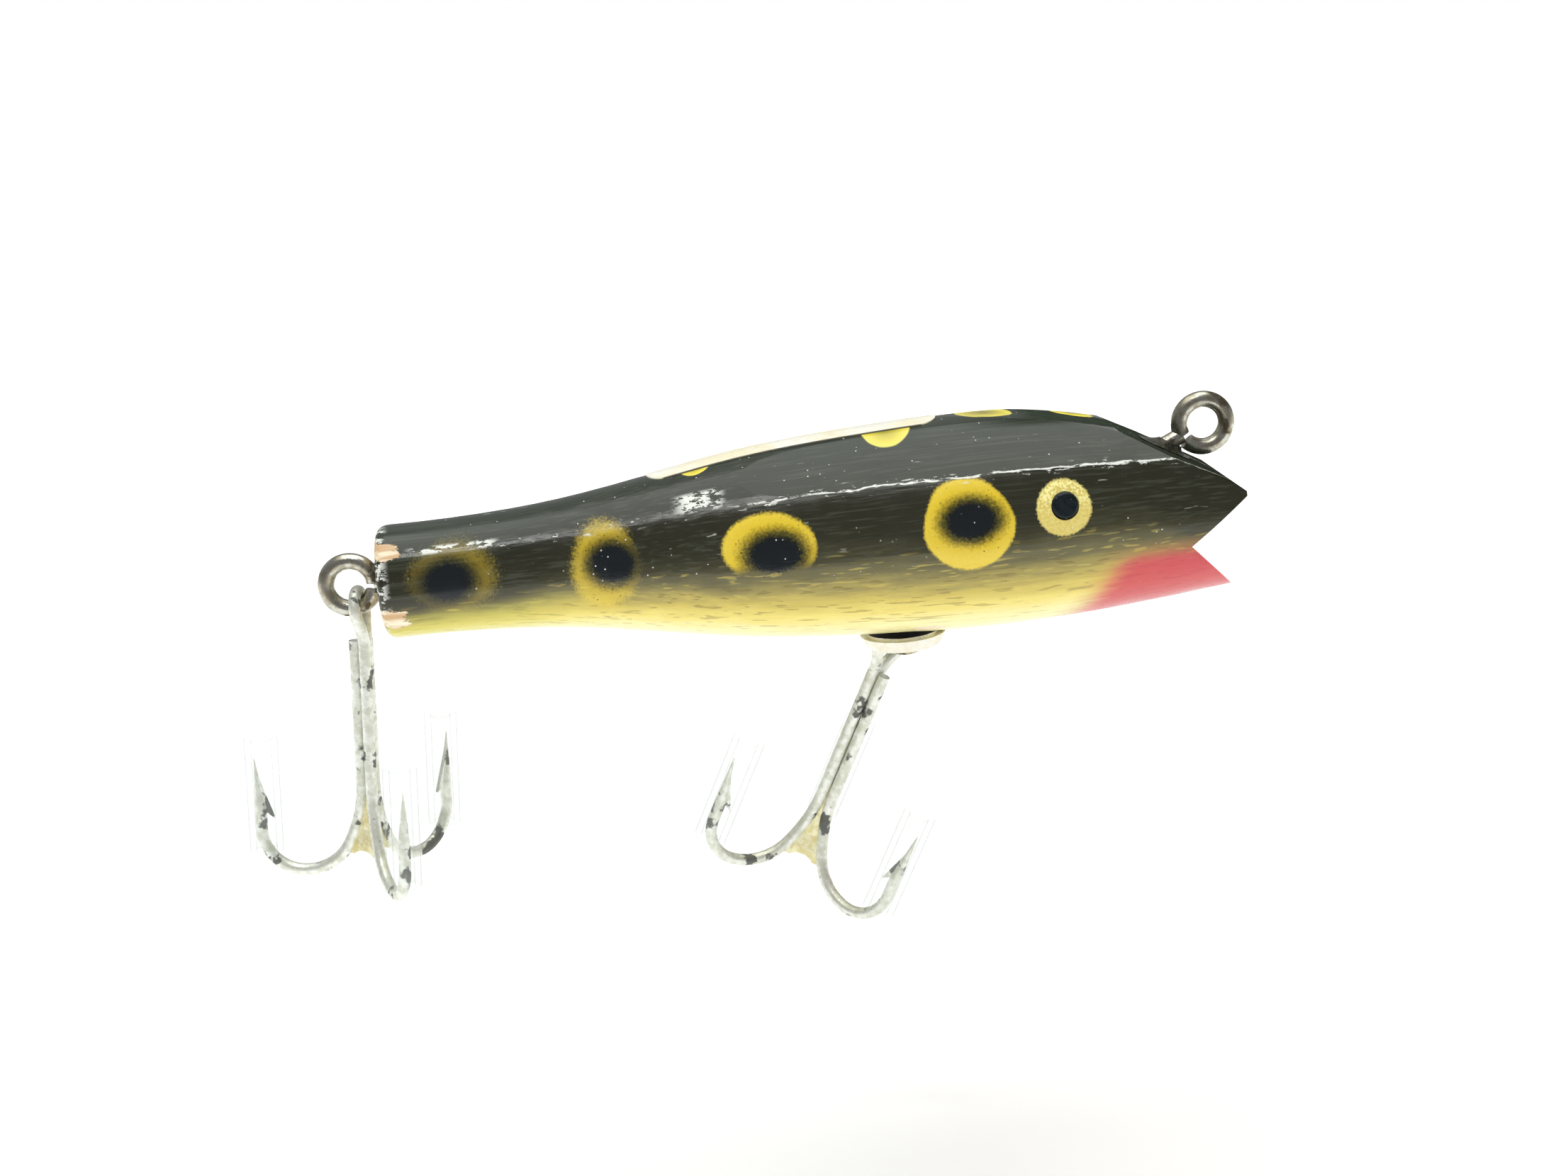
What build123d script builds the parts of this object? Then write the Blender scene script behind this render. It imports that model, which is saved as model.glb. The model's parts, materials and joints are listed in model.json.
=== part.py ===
"""Wooden topwater plug with a notched mouth, three screw eyes, a belly hook cup and two treble hooks.

Frame: millimetres, +Z up, +X towards the nose, +Y to the lure's left side. The origin is the
centre of the line-tie ring. "Station" is the distance forward of the tail face, and "height" is
measured from the turning axis, which runs along X.
"""

from build123d import *
from math import cos, radians, sin
import os

# --- Wooden body ---------------------------------------------------------------------------
LINE_TIE_STATION = 90.1
LINE_TIE_HEIGHT = 8.0
TAIL_X = -LINE_TIE_STATION
AXIS_Z = -LINE_TIE_HEIGHT

# Station and radius along the turned outline, from the tail's rounded corner to past the nose.
TURNED_OUTLINE = [
    (1.1, 6.15), (11, 6.3), (20, 7.05), (30, 8.65), (40, 10.25),
    (51, 11.2), (62, 11.7), (75, 11.4), (86, 10.5), (98, 9.2),
]
TAIL_FACE_RADIUS = 4.9
TAIL_CORNER_RADIUS, TAIL_CORNER_TURN = 1.2, 70.0
PROFILE_PLANE_Y = Plane(origin=(TAIL_X, 0, AXIS_Z), x_dir=(1, 0, 0), z_dir=(0, -1, 0))

NOSE_STATION, NOSE_HEIGHT, NOSE_THICKNESS = 92.1, 2.0, 0.5
FOREHEAD_SLOPE = 29.5
MOUTH_STATION, MOUTH_HEIGHT = 85.9, -3.3
LOWER_LIP_STATION, LOWER_LIP_HEIGHT = 91.7, -9.5
MOUTH_CUT_RUN = 12.0

# The planed crown falls away along an arc, and a flat runs along each upper side.
CROWN_START, CROWN_HEIGHT, CROWN_RADIUS = 60.9, 11.7, 68.0
FLAT_ELEVATION = 54.0
FLAT_HEIGHTS = [(36, 10.2), (45, 10.22), (54, 10.72), (63, 11.04), (75, 10.78), (86, 9.95), (98, 8.8)]
CUTTER_REACH = 30.0

# --- Screw eyes ----------------------------------------------------------------------------
EYE_RING_RADIUS = 2.6
EYE_WIRE = 1.8
STEM_DIAMETER = 1.8
STEM_TAPER = 3.0
STEM_CLEARANCE = 0.03
RING_GAP_ANGLE = 20.0

LINE_TIE_STEM_SLOPE = 25.0
LINE_TIE_STEM = 19.0
TAIL_EYE_STATION, TAIL_EYE_HEIGHT = -3.55, 0.1
TAIL_EYE_STEM = 17.0
BELLY_STATION = 55.6
BELLY_EYE_DROP = 10.9
BELLY_EYE_STEM = 15.0
BELLY_LOOP_AZIMUTH = -21.7

# --- Belly hook cup ------------------------------------------------------------------------
CUP_WALL = 0.4
CUP_RADIUS = 4.0
CUP_BRIM_RADIUS = 4.75
CUP_LIP_RADIUS = 4.05
CUP_BELLY_DROP = 11.72
CUP_PROUD = 1.4
CUP_DEPTH = 5.4
CUP_LIP_ROUNDING = 0.3
CUP_CLEARANCE = 0.05

# --- Label on the back, and pupils of the eyes ---------------------------------------------
LABEL_START, LABEL_LENGTH, LABEL_WIDTH = 29.4, 31.6, 5.2
LABEL_THICKNESS, LABEL_GLUE_GAP = 0.12, 0.02
LABEL_CORNER_RADIUS = 2.5
PUPIL_STATION, PUPIL_HEIGHT = 72.5, 2.8
PUPIL_RADIUS, PUPIL_PROUD, PUPIL_SEAT_DEPTH = 1.45, 0.45, 1.2
PUPIL_SURFACE, PUPIL_ROUNDING = 11.0, 0.4
PUPIL_CLEARANCE = 0.03

# --- Treble hooks --------------------------------------------------------------------------
HOOK_WIRE = 1.3
SHANK_RADIUS = 0.785
ARM_AZIMUTHS = {"double": (60, -60), "single": (180,)}
FLARE_RADIUS, FLARE_TURN = 16.0, 27.0
BEND_RADIUS = 5.8
POINT_BEND_RADIUS = 4.6
POINT_BASE_HEIGHT, POINT_TIP_HEIGHT = 7.0, 12.75
POINT_TIP_RADIUS, POINT_TIP_OFFSET = 0.06, 0.45
BARB_REACH, BARB_THICKNESS = 1.5, 0.44
# The barb's outline: distance outside the point's centreline, and depth below the tip.
BARB_OUTLINE = [(0.1, 2.2), (-BARB_REACH, 6.7), (-0.5, 5.9), (0.1, 5.9)]
HOOK_LENGTH = 32.5
EYE_LEAN = 0.7
HOOK_EYE_RADIUS = 2.0
EYE_NECK_TURN = 40.0
SINGLE_TOP_HEIGHT = 26.4
# Height and corner radius of the brazing web's triangular sections, and the hollow under it.
BRAZE_SECTIONS = [(11.6, 0.5), (8.0, 1.1), (5.0, 1.75), (3.2, 2.5), (2.1, 2.75)]
BRAZE_HOLLOW_RADIUS, BRAZE_HOLLOW_DEPTH = 2.6, 0.9

FLARE_START = BEND_RADIUS * (1 - sin(radians(FLARE_TURN))) + FLARE_RADIUS * sin(radians(FLARE_TURN))
LEG_RADIUS = (
    SHANK_RADIUS
    + FLARE_RADIUS * (1 - cos(radians(FLARE_TURN)))
    + BEND_RADIUS * cos(radians(FLARE_TURN))
    + POINT_BEND_RADIUS
)

# --- Point protector tubes -----------------------------------------------------------------
TUBE_CLEARANCE = 0.06
TUBE_WALL = 0.7
TUBE_BOTTOM, TUBE_TOP = 2.2, 15.2
TUBE_BORE = (HOOK_WIRE / 2 + BARB_REACH) / 2 + TUBE_CLEARANCE
TUBE_CENTRE_RADIUS = LEG_RADIUS + (HOOK_WIRE / 2 - BARB_REACH) / 2

# --- How the trebles hang ------------------------------------------------------------------
# The hook eye bears on the inside of its screw-eye ring, this far from the ring's centreline.
RUNNING_GAP = 0.06
EYE_TO_RING = (EYE_WIRE + HOOK_WIRE) / 2 + RUNNING_GAP
TAIL_CONTACT_ANGLE = 35.0
TAIL_SHANK_LEAN = 5.1
TAIL_TREBLE_TWIST = -7.0
BELLY_SHANK_LEAN = 27.0
BELLY_TREBLE_TWIST = -23.0


def station(distance, height=0.0, side=0.0):
    """A point given by its distance forward of the tail face and its height above the axis."""
    return Vector(TAIL_X + distance, side, AXIS_Z + height)


def save(solid, name):
    """Label one finished piece and write its STEP file."""
    solid.label = name
    export_step(solid, f"parts/{name}.step")


def screw_eye(plane, stem_length):
    """An open wire ring on a tapered stem. Plane x runs down the stem, plane z is the ring's axis."""
    with BuildPart() as eye:
        with BuildLine(plane) as ring:
            CenterArc((0, 0), EYE_RING_RADIUS, RING_GAP_ANGLE, 360 - RING_GAP_ANGLE)
        with BuildSketch(Plane(ring.line @ 0, z_dir=ring.line % 0)):
            Circle(EYE_WIRE / 2)
        sweep()
        stem_plane = Plane(plane.origin, x_dir=plane.z_dir, z_dir=plane.x_dir)
        straight = stem_length - STEM_TAPER
        with BuildSketch(stem_plane.offset(EYE_RING_RADIUS)):
            Circle(STEM_DIAMETER / 2)
        extrude(amount=straight - EYE_RING_RADIUS)
        with BuildSketch(stem_plane.offset(straight)):
            Circle(STEM_DIAMETER / 2)
        with BuildSketch(stem_plane.offset(stem_length)):
            Circle(STEM_DIAMETER / 8)
        loft()
    return eye.part


def stem_hole(plane, stem_length):
    """The pilot hole that a screw eye's stem fills, open at the surface."""
    with BuildPart() as hole:
        stem_plane = Plane(plane.origin, x_dir=plane.z_dir, z_dir=plane.x_dir)
        with BuildSketch(stem_plane):
            Circle(STEM_DIAMETER / 2 + STEM_CLEARANCE)
        extrude(amount=stem_length + STEM_CLEARANCE)
    return hole.part


# --- Where each screw eye sits: x down the stem, z along the ring's axis ---------------------
slope = radians(LINE_TIE_STEM_SLOPE)
line_tie_plane = Plane(
    origin=station(LINE_TIE_STATION, LINE_TIE_HEIGHT), x_dir=(-cos(slope), 0, -sin(slope)), z_dir=(0, -1, 0)
)
tail_eye_plane = Plane(
    origin=station(TAIL_EYE_STATION, TAIL_EYE_HEIGHT), x_dir=(1, 0, 0), z_dir=(0, 1, 0)
)
azimuth = radians(BELLY_LOOP_AZIMUTH)
loop_direction = Vector(cos(azimuth), sin(azimuth), 0)
loop_normal = Vector(0, 0, 1).cross(loop_direction)
belly_eye_plane = Plane(
    origin=station(BELLY_STATION, -BELLY_EYE_DROP), x_dir=(0, 0, 1), z_dir=loop_normal
)

line_tie_screw_eye = screw_eye(line_tie_plane, LINE_TIE_STEM)
tail_screw_eye = screw_eye(tail_eye_plane, TAIL_EYE_STEM)
belly_screw_eye = screw_eye(belly_eye_plane, BELLY_EYE_STEM)

# --- Belly hook cup: a drawn cup let into the belly, with a conical brim that stands proud ----
CUP_PLANE = Plane(origin=station(BELLY_STATION, -CUP_BELLY_DROP), x_dir=(1, 0, 0), z_dir=(0, -1, 0))
with BuildPart() as belly_hook_cup:
    with BuildSketch(CUP_PLANE):
        with BuildLine():
            Polyline(
                (STEM_DIAMETER / 2 + CUP_CLEARANCE, CUP_DEPTH),
                (CUP_RADIUS, CUP_DEPTH),
                (CUP_RADIUS, 0),
                (CUP_BRIM_RADIUS, 0),
                (CUP_LIP_RADIUS, -CUP_PROUD),
                (CUP_RADIUS - CUP_WALL, -CUP_PROUD),
                (CUP_RADIUS - CUP_WALL, CUP_DEPTH - CUP_WALL),
                (STEM_DIAMETER / 2 + CUP_CLEARANCE, CUP_DEPTH - CUP_WALL),
                close=True,
            )
        make_face()
    revolve(axis=Axis(station(BELLY_STATION), (0, 0, 1)))
    lip_edges = belly_hook_cup.edges().filter_by(GeomType.CIRCLE).group_by(Axis.Z)[0]
    fillet(lip_edges.sort_by(SortBy.RADIUS)[-1], CUP_LIP_ROUNDING)

# --- Domed pupils, each set in a shallow seat on the side of the head -------------------------
pupils = {}
for name, side in (("left_eye_pupil", 1), ("right_eye_pupil", -1)):
    with BuildPart() as pupil:
        base = Plane(
            origin=station(PUPIL_STATION, PUPIL_HEIGHT, side * (PUPIL_SURFACE - PUPIL_SEAT_DEPTH)),
            x_dir=(1, 0, 0),
            z_dir=(0, side, 0),
        )
        with BuildSketch(base):
            Circle(PUPIL_RADIUS)
        extrude(amount=PUPIL_SEAT_DEPTH + PUPIL_PROUD)
        outer_rim = pupil.edges().filter_by(GeomType.CIRCLE).sort_by(Axis.Y)[-1 if side > 0 else 0]
        fillet(outer_rim, PUPIL_ROUNDING)
    pupils[name] = pupil.part

# --- Body: turned blank, tapered tail corner, planed crown and flats, forehead, mouth notch ---
with BuildPart() as body:
    with BuildSketch(PROFILE_PLANE_Y):
        with BuildLine():
            outline = Spline(*TURNED_OUTLINE)
            tail_corner = JernArc(outline @ 0, -1 * (outline % 0), TAIL_CORNER_RADIUS, TAIL_CORNER_TURN)
            Line(tail_corner @ 1, (0, TAIL_FACE_RADIUS))
            Polyline((0, TAIL_FACE_RADIUS), (0, 0), ((outline @ 1).X, 0), outline @ 1)
        make_face()
    revolve(axis=Axis(station(0), (1, 0, 0)))

    # Crown: everything above an arc that starts level and falls towards the nose.
    crown_end = TURNED_OUTLINE[-1][0] + 2
    crown_drop = CROWN_RADIUS - (CROWN_RADIUS**2 - (crown_end - CROWN_START) ** 2) ** 0.5
    with BuildSketch(PROFILE_PLANE_Y):
        with BuildLine():
            arc = RadiusArc(
                (CROWN_START, CROWN_HEIGHT), (crown_end, CROWN_HEIGHT - crown_drop), CROWN_RADIUS
            )
            Polyline(arc @ 1, (crown_end, CUTTER_REACH), (CROWN_START, CUTTER_REACH), arc @ 0)
        make_face()
    extrude(amount=CUTTER_REACH, both=True, mode=Mode.SUBTRACT)

    # Flats: one along each upper side, fading out where the body gets thinner.
    for side in (1, -1):
        tilt = radians(FLAT_ELEVATION)
        outward = Vector(0, side * cos(tilt), sin(tilt))
        flat_plane = Plane(
            origin=station(0), x_dir=(1, 0, 0), z_dir=Vector(1, 0, 0).cross(outward)
        )
        with BuildSketch(flat_plane):
            with BuildLine():
                edge = Spline(*FLAT_HEIGHTS)
                Polyline(
                    edge @ 1,
                    (FLAT_HEIGHTS[-1][0], CUTTER_REACH),
                    (FLAT_HEIGHTS[0][0], CUTTER_REACH),
                    edge @ 0,
                )
            make_face()
        extrude(amount=CUTTER_REACH, both=True, mode=Mode.SUBTRACT)

    # Forehead: a flat that slopes down to the nose, a thin blunt edge. The mouth is a notch below it.
    rise = sin(radians(FOREHEAD_SLOPE)) * CUTTER_REACH
    run = cos(radians(FOREHEAD_SLOPE)) * CUTTER_REACH
    lip_slope = (LOWER_LIP_HEIGHT - MOUTH_HEIGHT) / (LOWER_LIP_STATION - MOUTH_STATION)
    with BuildSketch(PROFILE_PLANE_Y):
        with BuildLine():
            Polyline(
                (NOSE_STATION, NOSE_HEIGHT - NOSE_THICKNESS),
                (NOSE_STATION, NOSE_HEIGHT),
                (NOSE_STATION - run, NOSE_HEIGHT + rise),
                (NOSE_STATION + CUTTER_REACH, NOSE_HEIGHT + rise),
                (NOSE_STATION + CUTTER_REACH, -CUTTER_REACH),
                (MOUTH_STATION + MOUTH_CUT_RUN, MOUTH_HEIGHT + lip_slope * MOUTH_CUT_RUN),
                (MOUTH_STATION, MOUTH_HEIGHT),
                close=True,
            )
        make_face()
    extrude(amount=CUTTER_REACH, both=True, mode=Mode.SUBTRACT)

    # Seats for the cup, the screw-eye stems and the pupils.
    with BuildSketch(Plane.XY.offset(AXIS_Z - CUTTER_REACH)):
        with Locations((TAIL_X + BELLY_STATION, 0)):
            Circle(CUP_RADIUS + CUP_CLEARANCE)
    pocket_floor = CUP_DEPTH + CUP_CLEARANCE - CUP_BELLY_DROP
    extrude(amount=CUTTER_REACH + pocket_floor, mode=Mode.SUBTRACT)
    add(stem_hole(line_tie_plane, LINE_TIE_STEM), mode=Mode.SUBTRACT)
    add(stem_hole(tail_eye_plane, TAIL_EYE_STEM), mode=Mode.SUBTRACT)
    add(stem_hole(belly_eye_plane, BELLY_EYE_STEM), mode=Mode.SUBTRACT)
    for side in (1, -1):
        seat_floor = side * (PUPIL_SURFACE - PUPIL_SEAT_DEPTH - PUPIL_CLEARANCE)
        seat = Plane(
            origin=station(PUPIL_STATION, PUPIL_HEIGHT, seat_floor), x_dir=(1, 0, 0), z_dir=(0, side, 0)
        )
        with BuildSketch(seat):
            Circle(PUPIL_RADIUS + PUPIL_CLEARANCE)
        extrude(amount=PUPIL_SURFACE, mode=Mode.SUBTRACT)

# --- Label: a thin strip that follows the turned back ----------------------------------------
with BuildPart() as back_label:
    with BuildSketch(PROFILE_PLANE_Y):
        with BuildLine():
            inner = Spline(*[(s, r + LABEL_GLUE_GAP) for s, r in TURNED_OUTLINE[2:8]])
            outer = Spline(*[(s, r + LABEL_GLUE_GAP + LABEL_THICKNESS) for s, r in TURNED_OUTLINE[2:8]])
            Line(inner @ 0, outer @ 0)
            Line(inner @ 1, outer @ 1)
        make_face()
    revolve(axis=Axis(station(0), (1, 0, 0)))
    with BuildSketch(Plane.XY.offset(AXIS_Z)):
        with Locations((TAIL_X + LABEL_START + LABEL_LENGTH / 2, 0)):
            RectangleRounded(LABEL_LENGTH, LABEL_WIDTH, LABEL_CORNER_RADIUS)
    extrude(amount=CUTTER_REACH, mode=Mode.INTERSECT)


def arm_plane(azimuth_deg):
    """The upright plane of one hook: x is the distance from the treble's axis, y is the height."""
    a = radians(azimuth_deg)
    return Plane(origin=(0, 0, 0), x_dir=(cos(a), sin(a), 0), z_dir=(sin(a), -cos(a), 0))


def hook_arm(azimuth_deg, top):
    """One hook from its shank's top down round the bend to the barbed point, heights from the bend."""
    with BuildPart() as arm:
        with BuildLine(arm_plane(azimuth_deg)) as path:
            shank = Line((SHANK_RADIUS, top), (SHANK_RADIUS, FLARE_START))
            flare = JernArc(shank @ 1, (0, -1), FLARE_RADIUS, FLARE_TURN)
            bend = JernArc(flare @ 1, flare % 1, BEND_RADIUS, 90 - FLARE_TURN)
            turn = JernArc(bend @ 1, (1, 0), POINT_BEND_RADIUS, 90)
            Line(turn @ 1, (LEG_RADIUS, POINT_BASE_HEIGHT))
        with BuildSketch(Plane(path.line @ 0, z_dir=path.line % 0)):
            Circle(HOOK_WIRE / 2)
        sweep()
        direction = arm_plane(azimuth_deg).x_dir
        for height, radius, shift in (
            (POINT_BASE_HEIGHT, HOOK_WIRE / 2, 0.0),
            (POINT_TIP_HEIGHT, POINT_TIP_RADIUS, POINT_TIP_OFFSET),
        ):
            centre = direction * (LEG_RADIUS + shift) + Vector(0, 0, height)
            with BuildSketch(Plane(centre, x_dir=direction, z_dir=(0, 0, 1))):
                Circle(radius)
        loft()
        with BuildSketch(arm_plane(azimuth_deg)):
            with BuildLine():
                Polyline(
                    *[(LEG_RADIUS + out, POINT_TIP_HEIGHT - depth) for out, depth in BARB_OUTLINE],
                    close=True,
                )
            make_face()
        extrude(amount=BARB_THICKNESS / 2, both=True)
    return arm.part


def treble_pieces():
    """The brazed treble, upright with its bend at height 0: double hook, single hook, braze.

    The double hook's two shanks neck outwards into a round eye, which leans over the axis.
    """
    half_spread = radians(ARM_AZIMUTHS["double"][0])
    shank_x, shank_y = SHANK_RADIUS * cos(half_spread), SHANK_RADIUS * sin(half_spread)
    neck = radians(EYE_NECK_TURN)
    neck_radius = (HOOK_EYE_RADIUS * cos(neck) - shank_y) / (1 - cos(neck))
    eye_height = (neck_radius + HOOK_EYE_RADIUS) * sin(neck) + HOOK_EYE_RADIUS
    rise = (eye_height**2 - EYE_LEAN**2) ** 0.5
    eye_base = HOOK_LENGTH - HOOK_WIRE / 2 - rise
    eye_tilt = Plane(origin=(shank_x, 0, eye_base), x_dir=(0, 1, 0), z_dir=(rise, 0, EYE_LEAN))
    with BuildPart() as double:
        for azimuth_deg in ARM_AZIMUTHS["double"]:
            add(hook_arm(azimuth_deg, eye_base))
        with BuildLine(eye_tilt) as eye:
            neck_in = JernArc((shank_y, 0), (0, 1), neck_radius, -EYE_NECK_TURN)
            crown = JernArc(neck_in @ 1, neck_in % 1, HOOK_EYE_RADIUS, 180 + 2 * EYE_NECK_TURN)
            JernArc(crown @ 1, crown % 1, neck_radius, -EYE_NECK_TURN)
        with BuildSketch(Plane(eye.line @ 0, z_dir=eye.line % 0)):
            Circle(HOOK_WIRE / 2)
        sweep()
        with Locations((shank_x, shank_y, eye_base), (shank_x, -shank_y, eye_base)):
            Sphere(HOOK_WIRE / 2)
    single = hook_arm(ARM_AZIMUTHS["single"][0], SINGLE_TOP_HEIGHT)
    with BuildPart() as braze:
        for height, corner in BRAZE_SECTIONS:
            with BuildSketch(Plane.XY.offset(height)):
                RegularPolygon(corner, 3, rotation=60)
        loft(ruled=True)
        with Locations((0, 0, BRAZE_SECTIONS[-1][0] - BRAZE_HOLLOW_RADIUS + BRAZE_HOLLOW_DEPTH)):
            Sphere(BRAZE_HOLLOW_RADIUS, mode=Mode.SUBTRACT)
        add(double.part, mode=Mode.SUBTRACT)
        add(single, mode=Mode.SUBTRACT)
    return double.part, single, braze.part


def protector_tube(azimuth_deg):
    """A clear sleeve over one hook point, from the start of the bend to past the tip."""
    centre = arm_plane(azimuth_deg).x_dir * TUBE_CENTRE_RADIUS + Vector(0, 0, TUBE_BOTTOM)
    with BuildPart() as tube:
        with BuildSketch(Plane(centre, z_dir=(0, 0, 1))):
            Circle(TUBE_BORE + TUBE_WALL)
            Circle(TUBE_BORE, mode=Mode.SUBTRACT)
        extrude(amount=TUBE_TOP - TUBE_BOTTOM)
    return tube.part


# --- How each treble hangs: upright, its eye's crown is brought to the ring, then it leans -----
eye_crown = Vector(SHANK_RADIUS * cos(radians(60)) - EYE_LEAN, 0, HOOK_LENGTH - HOOK_WIRE / 2)
inward = EYE_RING_RADIUS - EYE_TO_RING
contact = radians(TAIL_CONTACT_ANGLE)
tail_hang_point = station(
    TAIL_EYE_STATION + inward * sin(contact), TAIL_EYE_HEIGHT - inward * cos(contact)
)
tail_lean = radians(TAIL_SHANK_LEAN)
tail_hang = Plane(
    origin=tail_hang_point,
    x_dir=(cos(tail_lean), 0, -sin(tail_lean)),
    z_dir=(sin(tail_lean), 0, cos(tail_lean)),
)
belly_lean = radians(BELLY_SHANK_LEAN)
vertical = Vector(0, 0, 1)
belly_up = vertical * cos(belly_lean) + loop_direction * sin(belly_lean)
belly_hang = Plane(
    origin=station(BELLY_STATION, -BELLY_EYE_DROP) - belly_up * inward,
    x_dir=vertical * sin(belly_lean) - loop_direction * cos(belly_lean),
    z_dir=belly_up,
)

os.makedirs("parts", exist_ok=True)
save(body.part, "body")
save(line_tie_screw_eye, "line_tie_screw_eye")
save(tail_screw_eye, "tail_screw_eye")
save(belly_screw_eye, "belly_screw_eye")
save(belly_hook_cup.part, "belly_hook_cup")
save(back_label.part, "back_label")
for name, pupil_part in pupils.items():
    save(pupil_part, name)

double_hook, single_hook, hook_braze = treble_pieces()
HANGING = {
    "tail": (tail_hang, TAIL_TREBLE_TWIST, {180: "rear", 60: "left", -60: "right"}),
    "belly": (belly_hang, BELLY_TREBLE_TWIST, {180: "right", 60: "rear", -60: "left"}),
}
for treble, (hang, twist, point_names) in HANGING.items():
    place = hang.location * Rotation(0, 0, twist) * Location(-eye_crown)
    save(place * double_hook, f"{treble}_hook_double")
    save(place * single_hook, f"{treble}_hook_single")
    save(place * hook_braze, f"{treble}_hook_braze")
    for azimuth_deg, position in point_names.items():
        save(place * protector_tube(azimuth_deg), f"{treble}_{position}_point_protector")
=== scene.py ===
import json
import math

import bmesh
import bpy
from mathutils import Matrix, Vector


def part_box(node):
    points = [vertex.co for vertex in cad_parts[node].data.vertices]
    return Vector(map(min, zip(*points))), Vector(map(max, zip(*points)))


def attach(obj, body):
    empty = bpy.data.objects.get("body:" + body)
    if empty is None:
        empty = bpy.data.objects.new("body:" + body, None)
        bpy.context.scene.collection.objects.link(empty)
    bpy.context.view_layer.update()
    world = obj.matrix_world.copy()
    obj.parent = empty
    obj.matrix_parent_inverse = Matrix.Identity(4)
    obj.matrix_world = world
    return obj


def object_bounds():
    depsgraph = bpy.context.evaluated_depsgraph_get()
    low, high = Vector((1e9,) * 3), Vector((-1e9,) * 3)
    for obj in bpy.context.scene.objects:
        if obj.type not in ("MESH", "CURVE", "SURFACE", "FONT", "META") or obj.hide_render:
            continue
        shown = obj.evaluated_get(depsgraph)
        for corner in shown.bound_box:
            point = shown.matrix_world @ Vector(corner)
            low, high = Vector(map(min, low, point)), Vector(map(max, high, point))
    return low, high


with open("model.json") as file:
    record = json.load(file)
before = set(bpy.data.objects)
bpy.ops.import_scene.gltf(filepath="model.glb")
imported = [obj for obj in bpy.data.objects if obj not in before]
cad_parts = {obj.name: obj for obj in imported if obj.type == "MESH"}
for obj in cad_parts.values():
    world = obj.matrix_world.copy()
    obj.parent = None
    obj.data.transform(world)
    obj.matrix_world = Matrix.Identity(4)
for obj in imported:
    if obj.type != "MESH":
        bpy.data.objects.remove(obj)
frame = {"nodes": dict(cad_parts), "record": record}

# A turned wooden topwater plug with a notched mouth, hung with two treble hooks whose points sit in
# clear tubes. The CAD parts keep their meshes and get their materials here. One piece is added: the
# paint that has built up round the line tie's stem.

CAD_LOW, CAD_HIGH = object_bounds()
NODES = frame["nodes"]
SCENE = bpy.context.scene

# The body's own measures: station is mm forward of the tail face, height is mm above the turning
# axis, side is mm to the left of it, and girth is the angle round it in degrees, 90 at the top.
MM = 1000.0
TAIL_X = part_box("body")[0].x
TURNING_AXIS_Z = -0.008
CUP_BRIM_TOP = -19.72  # mm, in the shared frame


# --- Camera --------------------------------------------------------------------------------------
CAMERA_YAW, CAMERA_DROP, CAMERA_ROLL = (math.radians(angle) for angle in (2.5, 13.5, 5.55))
CAMERA_TARGET = Vector((-0.0471, 0, -0.0134))
CAMERA_DISTANCE = 0.2402
SENSOR_WIDTH, FOCAL_LENGTH = 36, 50.45
CLIP_NEAR, CLIP_FAR = 0.01, 20


def aim_camera():
    """A long-lens view of the near side from slightly above, rolled so that the nose points up."""
    yaw, drop, roll = CAMERA_YAW, CAMERA_DROP, CAMERA_ROLL
    look = Vector((math.sin(yaw) * math.cos(drop), math.cos(yaw) * math.cos(drop), -math.sin(drop)))
    level = Vector((math.cos(yaw), -math.sin(yaw), 0))
    above = level.cross(look)
    right = level * math.cos(roll) - above * math.sin(roll)
    up = level * math.sin(roll) + above * math.cos(roll)
    pose = Matrix((right, up, -look)).transposed().to_4x4()
    pose.translation = CAMERA_TARGET - look * CAMERA_DISTANCE
    data = bpy.data.cameras.new("camera")
    data.sensor_width = SENSOR_WIDTH
    data.lens = FOCAL_LENGTH
    data.clip_start, data.clip_end = CLIP_NEAR, CLIP_FAR
    camera = bpy.data.objects.new("camera", data)
    SCENE.collection.objects.link(camera)
    camera.matrix_world = pose
    SCENE.camera = camera


# --- Node helpers --------------------------------------------------------------------------------
def srgb(red, green, blue):
    """An 8-bit screen colour as linear values."""
    def linear(value):
        value /= 255
        return value / 12.92 if value <= 0.04045 else ((value + 0.055) / 1.055) ** 2.4
    return linear(red), linear(green), linear(blue)


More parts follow.
